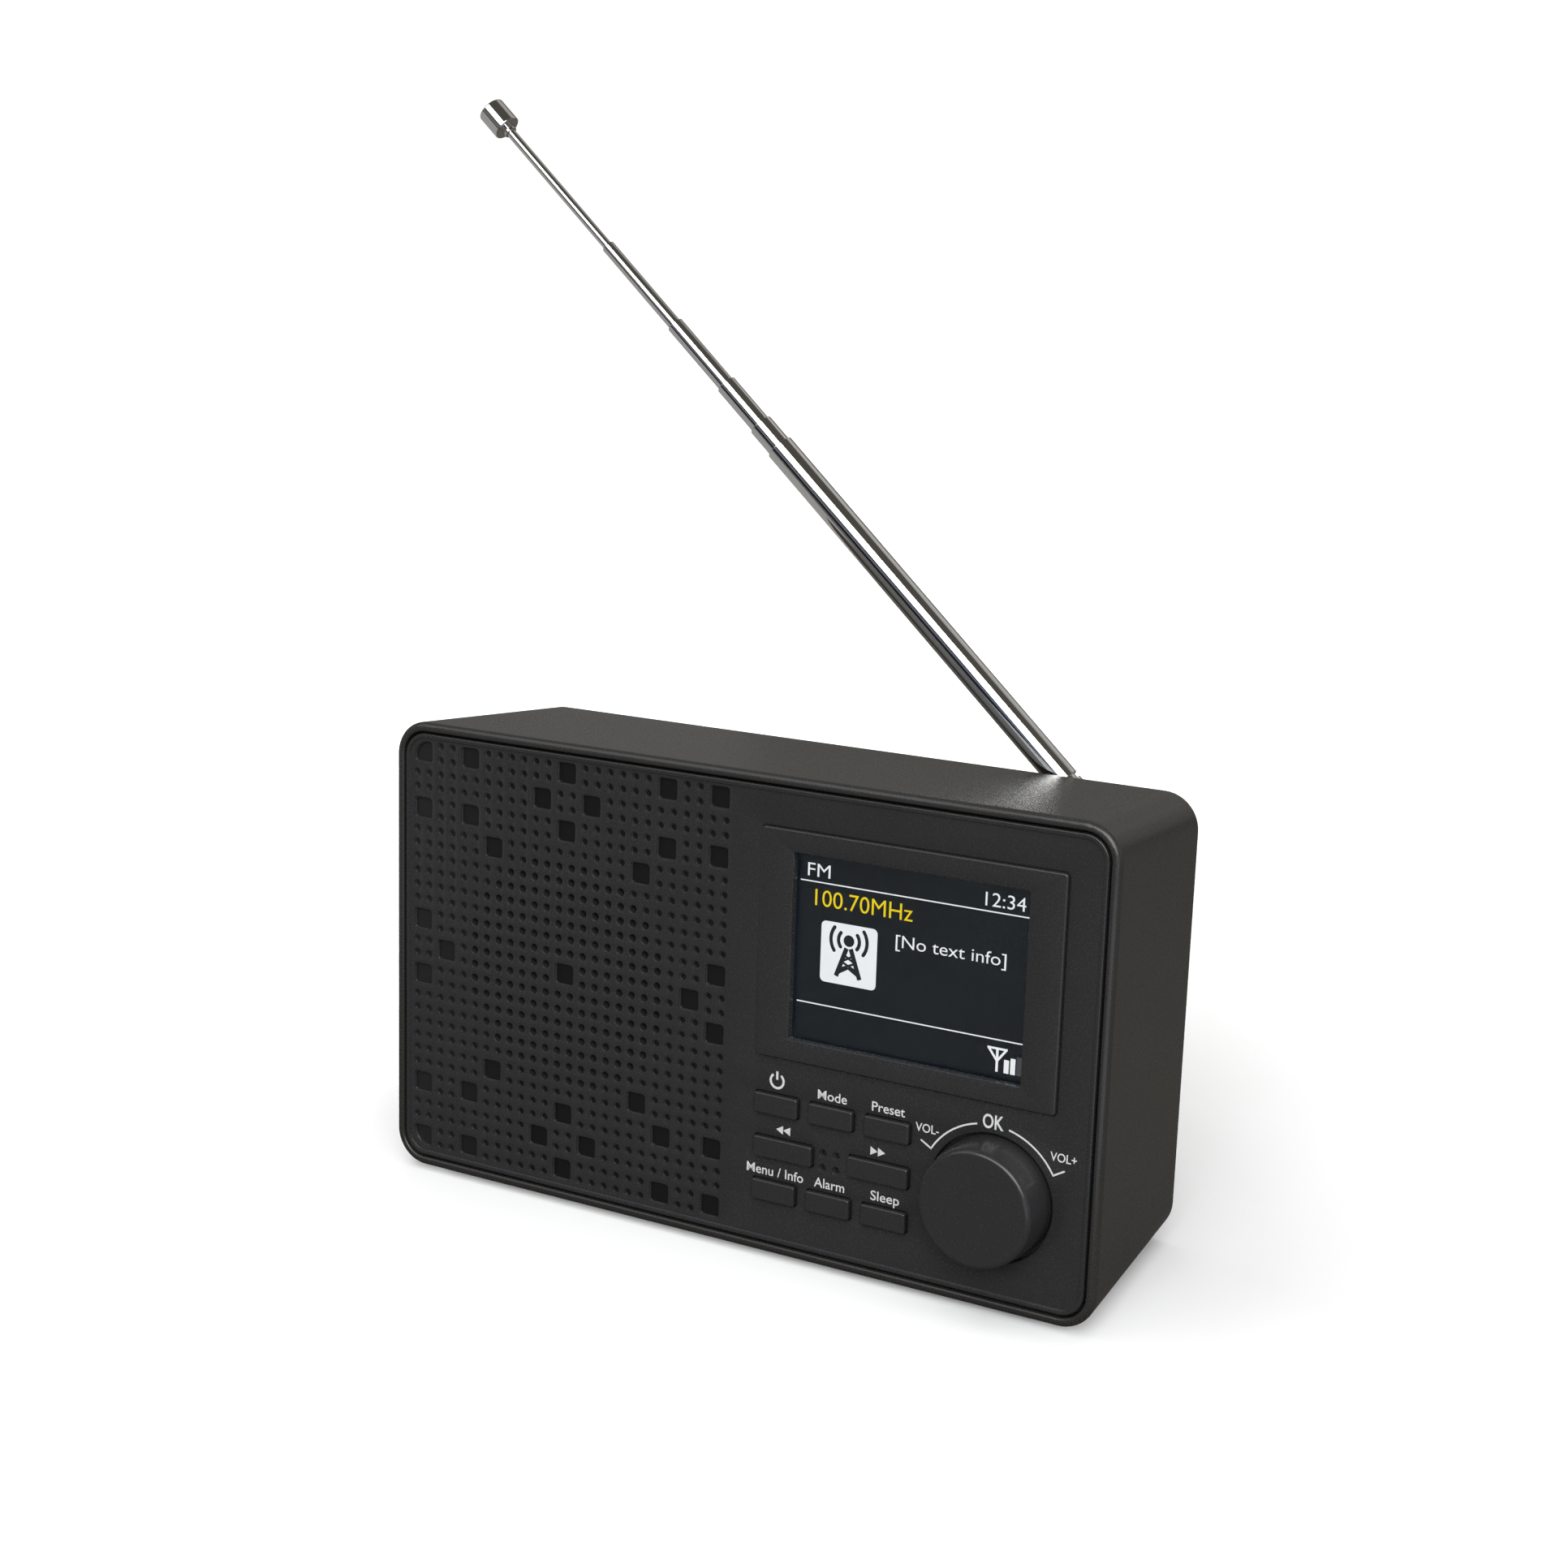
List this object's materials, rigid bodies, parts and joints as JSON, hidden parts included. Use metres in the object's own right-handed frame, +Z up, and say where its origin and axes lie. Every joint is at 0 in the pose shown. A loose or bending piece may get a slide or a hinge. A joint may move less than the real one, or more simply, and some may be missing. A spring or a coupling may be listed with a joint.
{
  "type": "tabletop radio",
  "caption": "Small charcoal tabletop radio: perforated speaker front, colour display, push buttons, volume knob and a hinged telescopic antenna.",
  "frame": {"origin": "centre of the base pad, on the surface that the radio stands on", "axes": "+X to the right seen from the front, +Y from front to back, +Z up"},
  "size_m": [0.1731, 0.0668, 0.2224],
  "materials": {
    "case_plastic": "fine moulded grain, charcoal",
    "panel_plastic": "fine moulded grain, charcoal",
    "button_plastic": "smooth satin charcoal",
    "knob_plastic": "smooth satin charcoal",
    "frame_plastic": "smooth satin charcoal",
    "cover_plastic": "fine moulded grain, charcoal",
    "lens": "clear hard-coated window",
    "screen": "lit colour screen",
    "pad_rubber": "matte black non-slip",
    "antenna_chrome": "polished",
    "pcb_green": "solder mask",
    "shield_steel": "tinned steel",
    "screw_steel": "zinc plated",
    "speaker_steel": "black painted steel",
    "ferrite": "dark ferrite",
    "cone_paper": "dark pressed paper",
    "surround_rubber": "soft black",
    "gasket_foam": "closed cell foam",
    "coil_copper": "enamelled copper winding",
    "switch_plastic": "black moulded",
    "socket_plastic": "black moulded",
    "ribbon_film": "amber film"
  },
  "bodies": {
    "case": {"cabinet": "case_plastic", "base_pad": "pad_rubber", "front_panel": "panel_plastic", "display_frame": "frame_plastic", "display_window": "lens", "display_module": "screen", "display_bracket": "switch_plastic", "display_board": "pcb_green", "display_ribbon": "ribbon_film", "tact_switches": "switch_plastic", "control_board": "pcb_green", "board_screws": "screw_steel", "encoder_body": "shield_steel", "encoder_washer": "screw_steel", "encoder_nut": "screw_steel", "speaker_gasket": "gasket_foam", "speaker_frame": "speaker_steel", "speaker_surround": "surround_rubber", "speaker_cone": "cone_paper", "speaker_dust_cap": "cone_paper", "speaker_voice_coil": "coil_copper", "speaker_spider": "cone_paper", "speaker_top_plate": "screw_steel", "speaker_magnet": "ferrite", "speaker_yoke": "screw_steel", "speaker_screws": "screw_steel", "rear_cover": "cover_plastic", "case_screws": "screw_steel", "main_board": "pcb_green", "tuner_module": "shield_steel", "dc_socket": "socket_plastic", "headphone_socket": "socket_plastic", "main_board_screws": "screw_steel"},
    "power_button": {"power_button": "button_plastic"},
    "mode_button": {"mode_button": "button_plastic"},
    "preset_button": {"preset_button": "button_plastic"},
    "rewind_button": {"rewind_button": "button_plastic"},
    "forward_button": {"forward_button": "button_plastic"},
    "menu_button": {"menu_button": "button_plastic"},
    "alarm_button": {"alarm_button": "button_plastic"},
    "sleep_button": {"sleep_button": "button_plastic"},
    "volume_press": {"encoder_plunger": "shield_steel"},
    "volume_knob": {"encoder_shaft": "shield_steel", "volume_knob": "knob_plastic"},
    "antenna_swivel": {"antenna_swivel": "antenna_chrome", "antenna_hinge_pin": "antenna_chrome", "antenna_washer": "screw_steel", "antenna_lock_nut": "screw_steel"},
    "antenna_mast": {"antenna_knuckle": "antenna_chrome", "antenna_tube_1": "antenna_chrome"},
    "antenna_section_2": {"antenna_tube_2": "antenna_chrome"},
    "antenna_section_3": {"antenna_tube_3": "antenna_chrome"},
    "antenna_section_4": {"antenna_tube_4": "antenna_chrome"},
    "antenna_section_5": {"antenna_tube_5": "antenna_chrome"},
    "antenna_tip": {"antenna_rod": "antenna_chrome", "antenna_cap": "antenna_chrome"}
  },
  "joints": [
    {"name": "power_press", "type": "slide", "parent": "case", "child": "power_button", "axis": [0, 0.998, -0.0637], "range_m": [0, 0.0006], "stiffness_N_per_m": 1000},
    {"name": "mode_press", "type": "slide", "parent": "case", "child": "mode_button", "axis": [0, 0.998, -0.0637], "range_m": [0, 0.0006], "stiffness_N_per_m": 1000},
    {"name": "preset_press", "type": "slide", "parent": "case", "child": "preset_button", "axis": [0, 0.998, -0.0637], "range_m": [0, 0.0006], "stiffness_N_per_m": 1000},
    {"name": "rewind_press", "type": "slide", "parent": "case", "child": "rewind_button", "axis": [0, 0.998, -0.0637], "range_m": [0, 0.0006], "stiffness_N_per_m": 1000},
    {"name": "forward_press", "type": "slide", "parent": "case", "child": "forward_button", "axis": [0, 0.998, -0.0637], "range_m": [0, 0.0006], "stiffness_N_per_m": 1000},
    {"name": "menu_press", "type": "slide", "parent": "case", "child": "menu_button", "axis": [0, 0.998, -0.0637], "range_m": [0, 0.0006], "stiffness_N_per_m": 1000},
    {"name": "alarm_press", "type": "slide", "parent": "case", "child": "alarm_button", "axis": [0, 0.998, -0.0637], "range_m": [0, 0.0006], "stiffness_N_per_m": 1000},
    {"name": "sleep_press", "type": "slide", "parent": "case", "child": "sleep_button", "axis": [0, 0.998, -0.0637], "range_m": [0, 0.0006], "stiffness_N_per_m": 1000},
    {"name": "volume_press_slide", "type": "slide", "parent": "case", "child": "volume_press", "axis": [0, 0.998, -0.0637], "range_m": [0, 0.0005], "stiffness_N_per_m": 2000},
    {"name": "volume_turn", "type": "hinge", "parent": "volume_press", "child": "volume_knob", "pos_m": [0.0588, -0.02214, 0.02301], "axis": [0, -0.998, 0.0637], "continuous": true},
    {"name": "antenna_rotate", "type": "hinge", "parent": "case", "child": "antenna_swivel", "pos_m": [0.05435, 0.034, 0.08335], "axis": [0, 1, 0], "range_deg": [-43.5, 136.5]},
    {"name": "antenna_tilt", "type": "hinge", "parent": "antenna_swivel", "child": "antenna_mast", "pos_m": [0.05435, 0.034, 0.08335], "axis": [-0.6884, 0, -0.7254], "range_deg": [0, 90]},
    {"name": "section_2_slide", "type": "slide", "parent": "antenna_mast", "child": "antenna_section_2", "axis": [-0.7254, 0, 0.6884], "range_m": [-0.0058, 0.0657]},
    {"name": "section_3_slide", "type": "slide", "parent": "antenna_section_2", "child": "antenna_section_3", "axis": [-0.7254, 0, 0.6884], "range_m": [-0.011, 0.0595]},
    {"name": "section_4_slide", "type": "slide", "parent": "antenna_section_3", "child": "antenna_section_4", "axis": [-0.7254, 0, 0.6884], "range_m": [-0.0167, 0.0528]},
    {"name": "section_5_slide", "type": "slide", "parent": "antenna_section_4", "child": "antenna_section_5", "axis": [-0.7254, 0, 0.6884], "range_m": [-0.0223, 0.0462]},
    {"name": "tip_slide", "type": "slide", "parent": "antenna_section_5", "child": "antenna_tip", "axis": [-0.7254, 0, 0.6884], "range_m": [-0.0334, 0.0332]}
  ]
}
